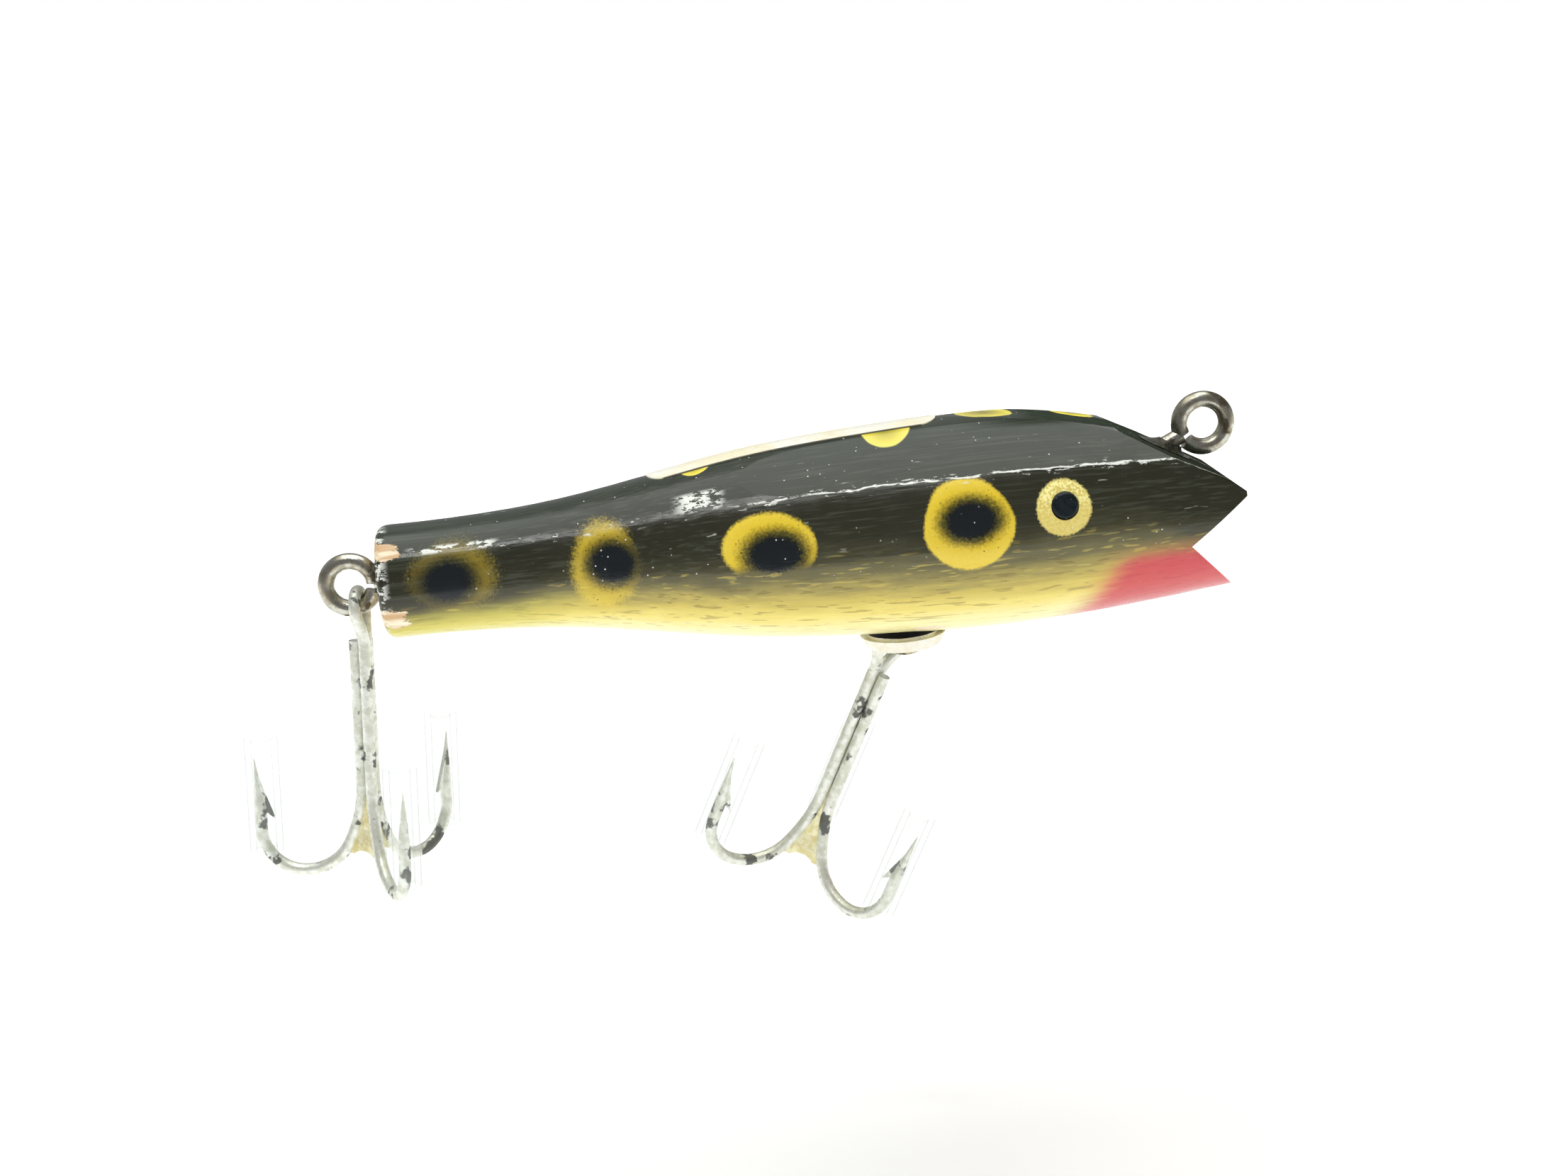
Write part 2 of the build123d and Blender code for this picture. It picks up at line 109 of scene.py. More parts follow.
class Nodes:
    """Short calls that build a node tree. A value is a socket, a number or a tuple."""

    def __init__(self, tree):
        self.tree = tree

    def put(self, socket, value):
        """Link a socket to this one, or set the plain value on it."""
        if isinstance(value, bpy.types.NodeSocket):
            self.tree.links.new(value, socket)
        elif socket.type == "RGBA":
            socket.default_value = (*value, 1.0)
        else:
            socket.default_value = value

    def fill(self, node, **values):
        """Put each value on the node's input of that name."""
        for key, value in values.items():
            self.put(node.inputs[key.replace("_", " ")], value)

    def node(self, kind, *inputs, **settings):
        """A new node with its first inputs filled. None leaves an input alone."""
        made = self.tree.nodes.new(kind)
        for key, value in settings.items():
            setattr(made, key, value)
        for socket, value in zip(made.inputs, inputs):
            if value is not None:
                self.put(socket, value)
        return made

    def math(self, operation, *inputs):
        return self.node("ShaderNodeMath", *inputs, operation=operation).outputs[0]

    def add(self, a, b):
        return self.math("ADD", a, b)

    def sub(self, a, b):
        return self.math("SUBTRACT", a, b)

    def mul(self, a, b):
        return self.math("MULTIPLY", a, b)

    def most(self, a, b):
        return self.math("MAXIMUM", a, b)

    def size(self, a):
        return self.math("ABSOLUTE", a)

    def shake(self, value, noise, amount):
        """The value pushed up and down by a noise."""
        return self.add(value, self.mul(self.sub(noise, 0.5), amount))

    def line(self, value, low, high, to_low=0.0, to_high=1.0):
        """A straight slope from to_low to to_high as value goes from low to high."""
        return self.node("ShaderNodeMapRange", value, low, high, to_low, to_high).outputs[0]

    def step(self, value, low, high, to_low=0.0, to_high=1.0):
        """A smooth step from to_low to to_high as value goes from low to high."""
        return self.node("ShaderNodeMapRange", value, low, high, to_low, to_high,
                         interpolation_type="SMOOTHSTEP").outputs[0]

    def fall(self, value, low, high):
        """A smooth step down from 1 to 0 as value goes from low to high."""
        return self.step(value, low, high, 1.0, 0.0)

    def oval(self, across, down, centre, half_sizes):
        """The distance from an ellipse's centre: 1 on its outline."""
        u = self.math("DIVIDE", self.sub(across, centre[0]), half_sizes[0])
        v = self.math("DIVIDE", self.sub(down, centre[1]), half_sizes[1])
        return self.math("SQRT", self.add(self.mul(u, u), self.mul(v, v)))

    def split(self, vector):
        """The x, y and z of a vector."""
        return tuple(self.node("ShaderNodeSeparateXYZ", vector).outputs)

    def position(self):
        """The position in the object's frame, in metres."""
        return self.node("ShaderNodeTexCoord").outputs["Object"]

    def noise(self, vector, scale, detail=2.0, rough=0.5, stretch=(1, 1, 1), shift=(0, 0, 0)):
        """Noise from 0 to 1, with scale features to the metre."""
        moved = self.node("ShaderNodeMapping", vector, shift, None, stretch).outputs[0]
        made = self.node("ShaderNodeTexNoise", moved)
        self.fill(made, Scale=scale, Detail=detail, Roughness=rough)
        return made.outputs[0]

    def cells(self, vector, scale, shift=(0, 0, 0)):
        """The distance to the nearest of a scatter of points, in cell widths."""
        moved = self.node("ShaderNodeMapping", vector, shift).outputs[0]
        made = self.node("ShaderNodeTexVoronoi", moved)
        self.fill(made, Scale=scale)
        return made.outputs[0]

    def mix(self, factor, a, b):
        """Colour a where factor is 0 and colour b where it is 1."""
        made = self.node("ShaderNodeMix", data_type="RGBA")
        for index, value in ((0, factor), (6, a), (7, b)):
            self.put(made.inputs[index], value)
        return made.outputs[2]

    def ramp(self, value, stops):
        """Colours along value. The stops are (position, colour) from low to high."""
        low, high = stops[0][0], stops[-1][0]
        made = self.node("ShaderNodeValToRGB", self.line(value, low, high))
        elements = made.color_ramp.elements
        while len(elements) < len(stops):
            elements.new(0.5)
        for element, (position, _) in zip(elements, stops):
            element.position = (position - low) / (high - low)
        for element, (_, colour) in zip(elements, stops):
            element.color = (*colour, 1.0)
        return made.outputs[0]

    def bump(self, height, distance, strength=1.0, under=None):
        """A normal from a height, over an earlier normal if there is one."""
        made = self.node("ShaderNodeBump")
        self.fill(made, Height=height, Distance=distance, Strength=strength)
        if under is not None:
            self.fill(made, Normal=under)
        return made.outputs[0]


class Shader(Nodes):
    """A material with a Principled shader."""

    def __init__(self, name, **plain):
        self.material = bpy.data.materials.new(name)
        self.material.use_nodes = True
        super().__init__(self.material.node_tree)
        self.bsdf = self.tree.nodes["Principled BSDF"]
        self.set(**plain)

    def set(self, **values):
        self.fill(self.bsdf, **values)


# --- Body paint: tables in body measures ---------------------------------------------------------
FADE_COLOURS = (
    (-90, srgb(252, 246, 200)),
    (-52, srgb(250, 240, 170)),
    (-40, srgb(242, 224, 124)),
    (-29, srgb(214, 194, 96)),
    (-20, srgb(164, 150, 80)),
    (-11, srgb(110, 104, 64)),
    (-1, srgb(66, 64, 44)),
    (10, srgb(46, 46, 33)),
    (35, srgb(40, 40, 29)),
    (60, srgb(48, 53, 44)),
    (90, srgb(54, 62, 53)),
)
# Ringed spots on the sides: ring centre and half sizes, black centre and half sizes, edge softness,
# strength, and the height below which the olive mist has covered the ring again.
UNCOVERED = -9.0
RINGED_SPOTS = (
    ((62.2, 1.95), (4.7, 4.7), (62.7, 2.35), (2.5, 1.8), 0.04, 1.0, UNCOVERED),
    ((41.4, 1.5), (4.7, 3.65), (42.0, 0.65), (2.6, 1.95), 0.06, 1.0, -1.4),
    ((24.2, 0.6), (3.3, 4.5), (25.1, 1.0), (2.15, 1.9), 0.22, 0.66, UNCOVERED),
    ((8.2, 1.0), (4.2, 3.3), (7.6, 0.6), (2.4, 1.9), 0.32, 0.28, UNCOVERED),
)
RING_COLOURS = (
    (0.9, srgb(30, 32, 22)),
    (1.2, srgb(92, 84, 30)),
    (1.45, srgb(176, 152, 40)),
    (1.7, srgb(226, 196, 54)),
    (2.3, srgb(236, 208, 72)),
)
# Yellow spots along the back: station, side and radius. Some are half under the label.
BACK_SPOTS = (
    (34.7, -1.9, 1.6),
    (55.3, -2.3, 2.6),
    (66.4, 0.9, 3.1),
    (45.0, 2.6, 2.4),
    (21.0, 3.2, 2.0),
    (76.5, 4.4, 2.4),
)
BACK_SPOT_COLOURS = (
    (0.0, srgb(150, 140, 50)),
    (0.8, srgb(238, 222, 84)),
    (1.1, srgb(244, 232, 110)),
)
EYE_CENTRE, IRIS_RADIUS = (72.4, 2.6), 2.9
CREASE_GIRTH = 35.3
# Rubbed patches along the crease, painted near-white as glints of light on the rubbed paint: first
# and last station, lowest and highest girth, and how much paint is left in them.
RUBBED_GLINT_PATCHES = (
    (3.0, 13.6, 36.0, 43.0, 0.47),
    (31.5, 37.8, 37.0, 50.0, 0.47),
    (14.0, 31.0, 36.0, 41.0, 0.62),
)
# Chips at the tail end: height of the middle, and how far the chip surely and possibly reaches.
TAIL_CHIPS = ((4.15, 0.3, 1.5), (-3.0, 0.5, 2.0))
CUP_SCRAPE_CENTRE, CUP_SCRAPE_HALF_SIZES = (57.9, -10.2), (1.0, 1 / 3)


# --- Body paint: layers --------------------------------------------------------------------------
class OnBody:
    """Where a point lies on the body, and the noises that several layers of paint share."""

    def __init__(self, s):
        self.vector = s.position()
        x, y, z = s.split(self.vector)
        self.station = s.mul(s.sub(x, TAIL_X), MM)
        self.height = s.mul(s.sub(z, TURNING_AXIS_Z), MM)
        self.side = s.mul(y, MM)
        turn = s.math("ARCTAN2", self.height, s.size(self.side))
        self.girth = s.mul(turn, 180 / math.pi)
        self.forward = s.split(s.node("ShaderNodeNewGeometry").outputs["Normal"])[0]
        self.grain = s.noise(self.vector, 1000, 3.0, 0.6, stretch=(0.09, 1.0, 1.0))
        self.cloud = s.noise(self.vector, 120, 3.0, 0.55)
        self.mist = s.noise(self.vector, 3800, 1.0, 0.5)


def back_to_belly(s, at):
    """The fade along the girth. The dark back reaches lower at the tail and the head."""
    tail_drop = s.step(at.station, 4.0, 24.0, 17.0, 0.0)
    head_drop = s.step(at.station, 80.0, 88.0, 0.0, 9.0)
    fade = s.add(at.girth, s.add(tail_drop, head_drop))
    fade = s.shake(s.shake(fade, at.cloud, 9.0), at.grain, 16.0)
    return s.ramp(fade, FADE_COLOURS), fade


def wood_grain(s, at, paint, fade):
    """Short dark dashes in the yellow, yellow ones in the olive, fine hairs, and a greener tail."""
    dash = s.noise(at.vector, 1000, 1.5, 0.55, stretch=(0.28, 2.4, 2.4), shift=(0.02, 0, 0))
    dark = s.mul(s.step(dash, 0.60, 0.66), s.mul(s.step(fade, -75, -40), s.step(fade, -2, -18)))
    paint = s.mix(s.mul(dark, 0.42), paint, srgb(112, 94, 44))
    light = s.mul(s.step(dash, 0.40, 0.33), s.mul(s.step(fade, -34, -24), s.step(fade, 4, -10)))
    paint = s.mix(s.mul(light, 0.5), paint, srgb(208, 188, 92))
    hair = s.noise(at.vector, 1000, 2.0, 0.6, stretch=(0.05, 3.0, 3.0), shift=(0.3, 0, 0))
    hair_tone = s.mix(s.step(fade, -40, -5), srgb(226, 206, 120), srgb(92, 96, 80))
    paint = s.mix(s.mul(s.step(hair, 0.5, 0.68), 0.28), paint, hair_tone)
    green = s.mul(s.step(at.station, 27, 9, 0.0, 0.55), s.step(fade, -4, -26))
    paint = s.mix(green, paint, srgb(212, 206, 92))
    return paint, s.most(dark, s.mul(hair, 0.5))


def wobbly_oval(s, at, centre, half_sizes, wobble, seed):
    """The distance from an ellipse on the side whose outline wanders in and out."""
    bend = s.noise(at.vector, 210, 0.0, 0.5, shift=(seed, seed, 0))
    return s.shake(s.oval(at.station, at.height, centre, half_sizes), bend, wobble * 2)


def ringed_spots(s, at, paint):
    """Yellow rings round soft black centres, with dark specks on them."""
    specks = s.fall(s.cells(at.vector, 1350), 0.10, 0.15)
    for centre, ring, black_centre, black, crisp, strength, covered in RINGED_SPOTS:
        seed = centre[0] * 0.001
        edge = wobbly_oval(s, at, centre, ring, 0.12, seed)
        edge = s.shake(edge, at.mist, crisp * 2)
        uncovered = s.step(at.height, covered, covered + 1.6)
        inside = s.mul(s.step(edge, 1.0 - crisp, 1.0 + crisp, strength, 0.0), uncovered)
        shade = wobbly_oval(s, at, black_centre, black, 0.10, seed * 2)
        shade = s.shake(shade, at.mist, 0.45)
        paint = s.mix(inside, paint, s.ramp(shade, RING_COLOURS))
        paint = s.mix(s.fall(shade, 0.78, 1.18), paint, srgb(20, 26, 30))
        dots = s.mul(specks, s.fall(edge, 0.6, 1.2))
        paint = s.mix(s.mul(dots, 0.85), paint, srgb(34, 30, 16))
    return paint


def back_spots(s, at, paint):
    """Plain yellow spots along the back."""
    for station, side, radius in BACK_SPOTS:
        length = s.oval(at.station, at.side, (station, side), (radius, radius))
        length = s.shake(length, s.noise(at.vector, 260), 0.25)
        spot = s.mul(s.fall(length, 0.97, 1.05), s.step(at.height, 2.0, 4.0))
        paint = s.mix(spot, paint, s.ramp(length, BACK_SPOT_COLOURS))
    return paint


def irises(s, at, paint):
    """A disc of gold spray with a grainy rim under each raised pupil, paler gold painted towards
    its top as a highlight.
    """
    rim = s.oval(at.station, at.height, EYE_CENTRE, (IRIS_RADIUS, IRIS_RADIUS))
    rim = s.shake(rim, at.mist, 0.16)
    # Painted highlight: the pale gold grain is sparse low on the iris and full near its top, where
    # the light falls.
    grain_and_top_highlight = s.mul(s.step(at.mist, 0.40, 0.60), s.step(at.height, 1.6, 4.2, 0.25, 1.0))
    gold = s.mix(grain_and_top_highlight, srgb(224, 202, 110), srgb(254, 246, 168))
    return s.mix(s.fall(rim, 0.95, 1.05), paint, gold)


def red_throat(s, at, paint):
    """A soft-edged red patch below and behind the mouth, and a darker red inside the notch."""
    slant = s.add(s.mul(s.add(at.height, 9.7), 0.6), 74.8)
    rear = s.shake(s.sub(at.station, slant), at.grain, 2.0)
    top = s.shake(at.height, at.grain, 1.0)
    throat = s.mul(s.step(rear, -3.6, 2.4), s.step(top, -1.6, -5.0))
    blush = s.mix(s.step(throat, 0.25, 0.8), srgb(196, 132, 74), srgb(208, 70, 82))
    paint = s.mix(s.mul(throat, 0.96), paint, blush)
    notch = s.mul(s.step(at.forward, 0.55, 0.6), s.step(at.station, 84.5, 85.5))
    return s.mix(notch, paint, srgb(150, 66, 62))


def wear_and_crease_highlight(s, at, paint):
    """A broken near-white line on the crease of the flats, partly worn paint and mostly a painted
    highlight, painted glints in rubbed patches, and real scuffs and tiny nicks.
    """
    flake = s.noise(at.vector, 1500, 4.0, 0.7, stretch=(0.4, 1, 1))
    jitter = s.noise(at.vector, 700, 2.0, 0.6, stretch=(0.5, 1, 1), shift=(0.7, 0, 0))
    off_crease = s.shake(s.shake(s.sub(at.girth, CREASE_GIRTH), at.cloud, 3.0), jitter, 5.0)
    off_crease = s.size(off_crease)
    # The crease line is a painted highlight where the edge of the flats catches the light, broken
    # up like worn paint.
    crease = s.mul(s.fall(off_crease, 0.3, 1.1), s.step(at.station, 36, 42))
    crease = s.mul(crease, s.step(flake, 0.40, 0.47))
    # Faint near-white flecks beside the crease: painted glints.
    faint = s.mul(s.fall(off_crease, 0.6, 5.0), s.step(flake, 0.60, 0.64))
    wear_and_highlight = s.most(crease, faint)
    for first, last, lowest, highest, left in RUBBED_GLINT_PATCHES:
        along = s.mul(s.step(at.station, first, first + 2.0), s.step(at.station, last, last - 1.5))
        across = s.mul(s.step(at.girth, lowest - 2.5, lowest + 1.5),
                       s.step(at.girth, highest + 2.5, highest - 1.5))
        wear_and_highlight = s.most(wear_and_highlight, s.mul(s.mul(along, across), s.step(flake, left, left + 0.05)))
    nick = s.fall(s.cells(at.vector, 520, shift=(0.3, 0.1, 0)), 0.03, 0.055)
    fleck = s.fall(s.cells(at.vector, 950, shift=(0.1, 0.4, 0.2)), 0.06, 0.10)
    fleck = s.mul(fleck, s.step(s.noise(at.vector, 160, 1.0, 0.5, shift=(0.9, 0, 0)), 0.50, 0.62))
    nick = s.mul(s.most(nick, s.mul(fleck, 0.8)), s.step(at.girth, -20, 0))
    scuff = s.noise(at.vector, 1500, 2.0, 0.6, stretch=(0.2, 1, 1), shift=(0.5, 0, 0))
    scuff = s.mul(s.step(scuff, 0.72, 0.76), s.step(at.girth, -5, 15))
    tail_rim = s.mul(s.step(at.station, 1.6, 0.4), s.step(flake, 0.52, 0.56))
    wear_and_highlight = s.most(s.most(wear_and_highlight, s.most(nick, s.mul(scuff, 0.35))), tail_rim)
    # The near-white mix paints the crease highlight and glints together with the real scuffs, nicks
    # and tail wear.
    return s.mix(s.mul(wear_and_highlight, 0.92), paint, srgb(244, 246, 238)), wear_and_highlight


def bare_wood(s, at, paint):
    """Wood where paint has chipped off the tail end and beside the cup."""
    ragged = s.noise(at.vector, 980, 5.0, 0.75, stretch=(0.45, 1, 1), shift=(0.1, 0.2, 0.3))
    upper, lower = (s.fall(s.size(s.sub(at.height, middle)), sure, possible)
                    for middle, sure, possible in TAIL_CHIPS)
    tail_end = s.mul(s.step(at.station, 4.6, 1.4), s.most(upper, lower))
    cup_gap = s.oval(at.station, at.height, CUP_SCRAPE_CENTRE, CUP_SCRAPE_HALF_SIZES)
    zone = s.most(tail_end, s.mul(s.fall(cup_gap, 0.8, 3.4), 0.75))
    bare = s.step(s.add(s.mul(zone, 0.5), s.mul(ragged, 0.9)), 0.74, 0.79)
    tone = s.mix(s.step(at.grain, 0.38, 0.58), srgb(214, 176, 132), srgb(252, 240, 212))
    return s.mix(bare, paint, tone), bare


def body_paint():
    """Sprayed frog finish: olive back fading to a yellow belly, ringed spots, red throat, wear, and
    a painted highlight along the crease.
    """
    s = Shader("frog_paint")
    at = OnBody(s)
    paint, fade = back_to_belly(s, at)
    paint, relief = wood_grain(s, at, paint, fade)
    for layer in (ringed_spots, back_spots, irises, red_throat):
        paint = layer(s, at, paint)
    paint, wear_and_highlight = wear_and_crease_highlight(s, at, paint)
    paint, bare = bare_wood(s, at, paint)
    damage_and_highlight = s.most(wear_and_highlight, bare)
    rough = s.step(s.noise(at.vector, 260, 3.0, 0.6), 0.35, 0.7, 0.16, 0.30)
    # The crown and the forehead have lost their gloss.
    crown = s.mul(s.step(at.girth, 64, 72), s.step(at.station, 60, 72))
    forehead = s.mul(s.step(at.forward, 0.3, 0.4), s.step(at.station, 78, 80))
    gloss = s.step(s.most(crown, forehead), 0.0, 1.0, 0.5, 0.0)
    ripple = s.bump(s.noise(at.vector, 700, 2.0, 0.5, stretch=(0.12, 1, 1)), 0.00006, 0.5)
    dashes = s.bump(relief, 0.00006, 0.7, ripple)
    s.set(Base_Color=paint, Roughness=s.most(rough, s.mul(damage_and_highlight, 0.55)),
          Specular_IOR_Level=gloss, Normal=s.bump(damage_and_highlight, 0.00007, 0.7, dashes))
    return s.material


# --- Metals, enamel, paper and vinyl -------------------------------------------------------------
def plated(name, bright, dull, patch,
           roughness, patches=0.6, scale=900.0, metallic=1.0, pitting=0.5):
    """Old plated wire: two tones of metal, with dull patches where the plating has gone."""
    s = Shader(name, Metallic=metallic)
    vector = s.position()
    tone = s.noise(vector, scale, 4.0, 0.65)
    tarnish = s.noise(vector, scale * 0.33, 3.0, 0.6, shift=(0.3, 0.7, 0.1))
    dark = s.step(tarnish, patches, patches + 0.05)
    pit = s.fall(s.cells(vector, scale * 2.6), 0.05, 0.16)
    colour = s.mix(s.step(tone, 0.38, 0.62), bright, dull)
    colour = s.mix(s.mul(dark, 0.85), colour, patch)
    colour = s.mix(s.mul(pit, pitting), colour, patch)
    rough = s.step(tone, 0.3, 0.7, roughness, roughness + 0.16)
    rugged = s.bump(tone, 0.00004, 0.6)
    s.set(Base_Color=colour, Roughness=s.most(rough, s.mul(dark, 0.6)),
          Normal=s.bump(pit, 0.00003, 0.5, rugged))
    return s, colour


def metal(*tones, **finish):
    """The material of plated()."""
    return plated(*tones, **finish)[0].material


def pressed_cup_with_gap_shadow(*tones, **finish):
    """Bright pressed nickel, turned near-black above the brim as a painted shadow of the gap under
    the belly.
    """
    s, colour = plated(*tones, **finish)
    vector = s.position()
    z = s.split(vector)[2]
    edge = s.add(s.mul(z, MM), s.mul(s.sub(s.noise(vector, 900, 2.0), 0.5), 0.12))
    # Painted shadow: above the brim the cup turns near-black, not metallic and barely glossy, where
    # the gap under the belly lies in shade.
    gap_shadow = s.step(edge, CUP_BRIM_TOP + 0.20, CUP_BRIM_TOP + 0.28)
    s.set(Base_Color=s.mix(gap_shadow, colour, srgb(14, 12, 10)),
          Metallic=s.step(gap_shadow, 0.0, 1.0, 0.45, 0.0),
          Specular_IOR_Level=s.step(gap_shadow, 0.0, 1.0, 0.5, 0.1))
    return s.material


def enamel():
    """Blue-black enamel on the pupils, dusty in places."""
    s = Shader("pupil_enamel", Metallic=0.0, Specular_IOR_Level=0.3)
    vector = s.position()
    dust = s.step(s.cells(vector, 1500), 0.05, 0.12, 0.5, 0.0)
    s.set(Base_Color=s.mix(dust, srgb(14, 24, 30), srgb(150, 160, 160)),
          Roughness=s.step(s.noise(vector, 1800, 2.0), 0.35, 0.65, 0.22, 0.4),
          Normal=s.bump(s.noise(vector, 2200, 2.0), 0.00003, 0.4))
    return s.material


def paper():
    """Cream label paper, stained, with fibres and a dark line painted along its long edges as the
    shadow where the label stands off the body.
    """
    s = Shader("aged_label", Metallic=0.0, Coat_Weight=0.3, Coat_Roughness=0.25)
    vector = s.position()
    y = s.split(vector)[1]
    fibre = s.noise(vector, 2400, 3.0, 0.6, stretch=(0.4, 1, 1))
    stain = s.noise(vector, 180, 3.0, 0.6)
    tone = s.mix(s.step(stain, 0.4, 0.62), srgb(254, 252, 240), srgb(246, 238, 208))
    tone = s.mix(s.mul(s.step(fibre, 0.45, 0.7), 0.3), tone, srgb(214, 196, 146))
    # Painted shadow: a dark line along both long edges of the label.
    edge = s.step(s.size(s.mul(y, MM)), 2.40, 2.56)
    s.set(Base_Color=s.mix(s.mul(edge, 0.9), tone, srgb(54, 50, 40)),
          Roughness=s.step(stain, 0.3, 0.7, 0.35, 0.55), Normal=s.bump(fibre, 0.00004, 0.5))
    return s.material


def vinyl():
    """Thin clear tube, seen mostly at its edges, with faint scuffs along it."""
    s = Shader("clear_vinyl_tube", Metallic=0.0, IOR=1.35)
    haze = s.noise(s.position(), 800, 3.0, 0.6, stretch=(1, 1, 0.35))
    edge = s.node("ShaderNodeLayerWeight", 0.35).outputs["Facing"]
    s.set(Base_Color=s.mix(s.step(edge, 0.4, 0.9), srgb(226, 238, 232), srgb(120, 140, 130)),
          Roughness=s.step(haze, 0.45, 0.75, 0.08, 0.25),
          Alpha=s.add(s.step(edge, 0.3, 0.95, 0.04, 0.5), s.step(haze, 0.5, 0.8, 0.0, 0.10)),
          Normal=s.bump(haze, 0.00002, 0.25))
    return s.material


def finish_parts():
    """Give every CAD node the material of its slot."""
    finishes = {
        "nickelled_wire": metal(
            "old_nickel", srgb(214, 212, 200), srgb(176, 168, 148), srgb(92, 76, 52),
            roughness=0.22),
        "brass_wire": metal(
            "worn_brass_loop", srgb(214, 204, 164), srgb(150, 138, 98), srgb(64, 56, 40),
            roughness=0.34, patches=0.50, scale=1600.0),
        "pressed_nickel": pressed_cup_with_gap_shadow(
            "pressed_nickel", srgb(252, 250, 238), srgb(244, 238, 216), srgb(176, 160, 120),
            roughness=0.24, patches=0.70, metallic=0.45, pitting=0.25),
        "tinned_steel": metal(
            "old_tinned_wire", srgb(246, 248, 240), srgb(222, 224, 208), srgb(70, 72, 72),
            roughness=0.32, patches=0.57, scale=1100.0, metallic=0.6),
        "yellow_braze": metal(
            "braze_metal", srgb(252, 246, 208), srgb(232, 220, 160), srgb(170, 152, 96),
            roughness=0.34, patches=0.68, scale=1200.0, metallic=0.5),
        "painted_wood": body_paint(),
        "black_enamel": enamel(),
        "aged_paper": paper(),
        "clear_vinyl": vinyl(),
    }
    for entry in frame["record"]["subparts"]:
        mesh = NODES[entry["node"]].data
        mesh.materials.clear()
        mesh.materials.append(finishes[entry["material_slot"]])


# --- Paint that has built up round the line tie's stem where it enters the forehead --------------
STEM_SLOPE = math.radians(25)
STEM_START = 0.0036  # a point on the stem, between the ring's centre and the wood
PROBE_OFFSET = 0.0017
COLLAR_TURNS, COLLAR_ROWS = 40, 8
COLLAR_INNER_RADIUS, COLLAR_SPREAD = 0.00098, 0.0014
COLLAR_HEIGHT, COLLAR_LIFT, COLLAR_THICKNESS = 0.0010, 0.00004, 0.00012


def collar_paint():
    """Lumpy body paint."""
    s = Shader("collar_paint", Specular_IOR_Level=0.5)
    lump = s.noise(s.position(), 1800, 3.0, 0.6)
    s.set(Base_Color=s.mix(s.step(lump, 0.4, 0.65), srgb(38, 38, 29), srgb(74, 72, 58)),
          Roughness=s.step(lump, 0.3, 0.7, 0.2, 0.45), Normal=s.bump(lump, 0.00008, 0.8))
    return s.material


def paint_collar():
    """A low uneven fillet of paint, swept round the stem on the sloping forehead."""
    down = Vector((-math.cos(STEM_SLOPE), 0, -math.sin(STEM_SLOPE)))
    across = Vector((0, 1, 0))
    lift = across.cross(down)
    # The forehead's plane is found from four rays beside the pilot bore.
    start = down * STEM_START
    hits = [NODES["body"].ray_cast(start + side * PROBE_OFFSET, down)
            for side in (across, -across, lift, -lift)]
    entry = sum((hit[1] for hit in hits), Vector()) / len(hits)
    slant = sum((hit[2] for hit in hits), Vector()).normalized()
    shape = bmesh.new()
    grid = []
    for row in range(COLLAR_ROWS + 1):
        share = row / COLLAR_ROWS
        radius = COLLAR_INNER_RADIUS + COLLAR_SPREAD * share ** 1.4
        height = COLLAR_HEIGHT * (1 - share) ** 1.6
        ring = []
        for turn in range(COLLAR_TURNS):
            angle = 2 * math.pi * turn / COLLAR_TURNS
            wave = 1 + (0.10 * math.sin(3 * angle + 0.6) + 0.06 * math.sin(7 * angle)) * min(row, 1)
            flat = (across * math.cos(angle) + lift * math.sin(angle)) * radius * wave
            foot = entry + flat - down * (flat.dot(slant) / down.dot(slant))
            ring.append(shape.verts.new(foot - down * (height * wave + COLLAR_LIFT)))
        grid.append(ring)
    for inner, outer in zip(grid, grid[1:]):
        for turn in range(COLLAR_TURNS):
            after = (turn + 1) % COLLAR_TURNS
            shape.faces.new((inner[turn], inner[after], outer[after], outer[turn]))
    bmesh.ops.recalc_face_normals(shape, faces=shape.faces)
    mesh = bpy.data.meshes.new("line_tie_paint_collar")
    shape.to_mesh(mesh)
    shape.free()
    for face in mesh.polygons:
        face.use_smooth = True
    collar = bpy.data.objects.new("line_tie_paint_collar", mesh)
    SCENE.collection.objects.link(collar)
    solid = collar.modifiers.new("thickness", "SOLIDIFY")
    solid.thickness = COLLAR_THICKNESS
    solid.offset = -1
    mesh.materials.append(collar_paint())
    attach(collar, "lure")


# --- Studio --------------------------------------------------------------------------------------
FLOOR_HALF = 2.0
FLOOR_FRONT = -0.2
FLOOR_GAP = 0.03


def white_room():
    """White behind the object. What lights and reflects in it is dimmer, and least in front."""
    world = bpy.data.worlds.new("studio_white")
    SCENE.world = world
    world.use_nodes = True
    w = Nodes(world.node_tree)
    direction = w.split(w.node("ShaderNodeTexCoord").outputs["Generated"])
    room = w.line(direction[1], -0.2, 0.5, 0.18, 0.30)
    seen = w.node("ShaderNodeLightPath").outputs["Is Camera Ray"]
    w.fill(w.tree.nodes["Background"], Color=(1.0, 1.0, 1.0), Strength=w.most(room, seen))


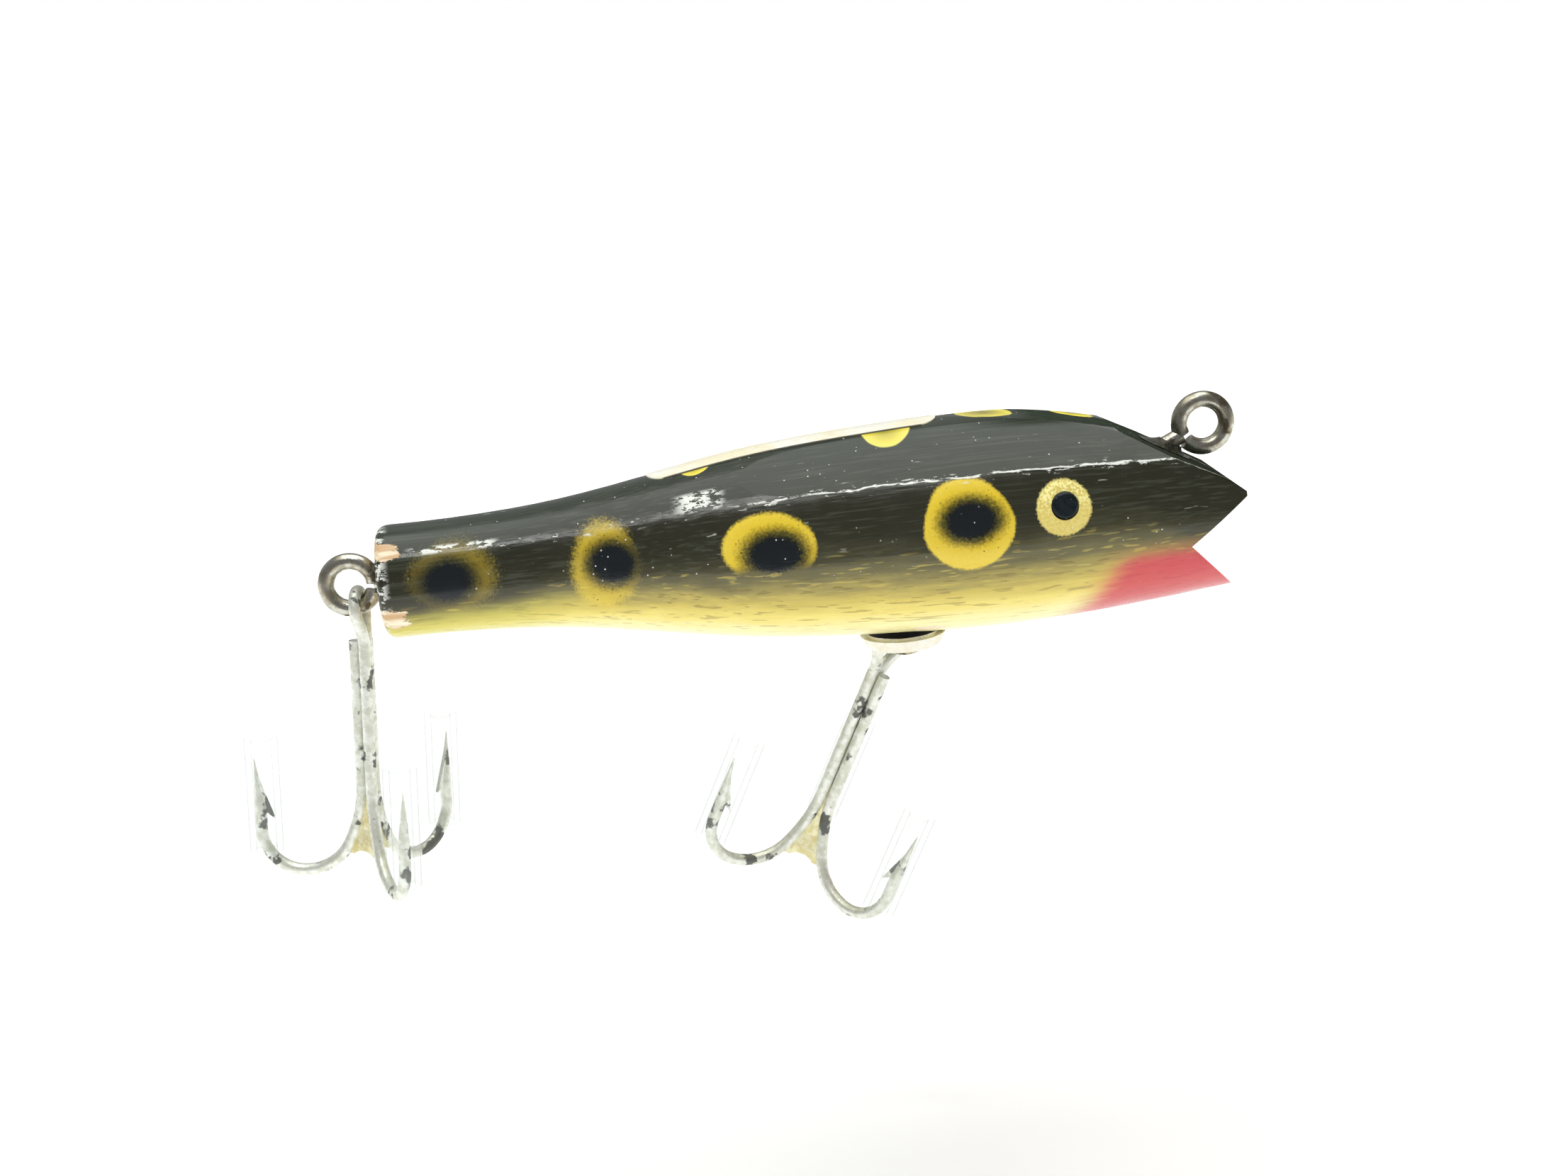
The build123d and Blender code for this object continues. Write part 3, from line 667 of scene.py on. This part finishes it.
def white_floor():
    """A white table from just in front of the lure to far behind it, lit by the lamps and also
    glowing, more the farther it is. It is darker close by.
    """
    mesh = bpy.data.meshes.new("floor")
    shape = bmesh.new()
    bmesh.ops.create_grid(shape, x_segments=8, y_segments=8, size=FLOOR_HALF)
    shape.to_mesh(mesh)
    shape.free()
    floor = bpy.data.objects.new("floor", mesh)
    floor.location = (0, FLOOR_HALF + FLOOR_FRONT, CAD_LOW.z - FLOOR_GAP)
    SCENE.collection.objects.link(floor)
    s = Shader("floor_white", Roughness=0.9, Specular_IOR_Level=0.0)
    vector = s.position()
    x, y, _ = s.split(vector)
    reach = s.oval(x, y, (-0.05, -(FLOOR_HALF + FLOOR_FRONT)), (1.0, 1.0))
    # Painted light: the floor emits white light, weakly near the lure and almost fully far off.
    s.set(Base_Color=s.mix(s.noise(vector, 60, 2.0), (0.93, 0.93, 0.93), (0.96, 0.96, 0.96)),
          Emission_Color=(1.0, 1.0, 1.0), Emission_Strength=s.step(reach, 0.1, 0.5, 0.2, 0.95))
    mesh.materials.append(s.material)


def lamp(name, offset, size, radiance, colour=(1, 1, 1), glossy=True):
    """A rectangular soft box aimed at the middle of the object."""
    middle = (CAD_LOW + CAD_HIGH) / 2
    light = bpy.data.lights.new(name, "AREA")
    light.shape = "RECTANGLE"
    light.size, light.size_y = size
    light.energy = radiance * math.pi * size[0] * size[1]
    light.color = colour
    made = bpy.data.objects.new(name, light)
    SCENE.collection.objects.link(made)
    made.location = middle + Vector(offset)
    made.visible_glossy = glossy
    made.rotation_euler = (-Vector(offset)).to_track_quat("-Z", "Y").to_euler()


def studio():
    """Pale floor, white surroundings, soft boxes above and in front, and two fills."""
    white_room()
    white_floor()
    lamp("overhead_box", (0.0, 0.02, 0.5), (0.55, 0.4), 1.7, (0.96, 1.0, 0.94))
    lamp("top_fill", (0.0, 0.1, 0.5), (0.5, 0.4), 2.0, glossy=False)
    lamp("front_fill", (-0.1, -0.5, -0.02), (0.5, 0.4), 2.2, glossy=False)
    lamp("front_box", (-0.05, -0.24, 0.46), (0.3, 0.05), 10.0)
    SCENE.view_settings.view_transform = "Standard"


finish_parts()
paint_collar()
studio()
aim_camera()
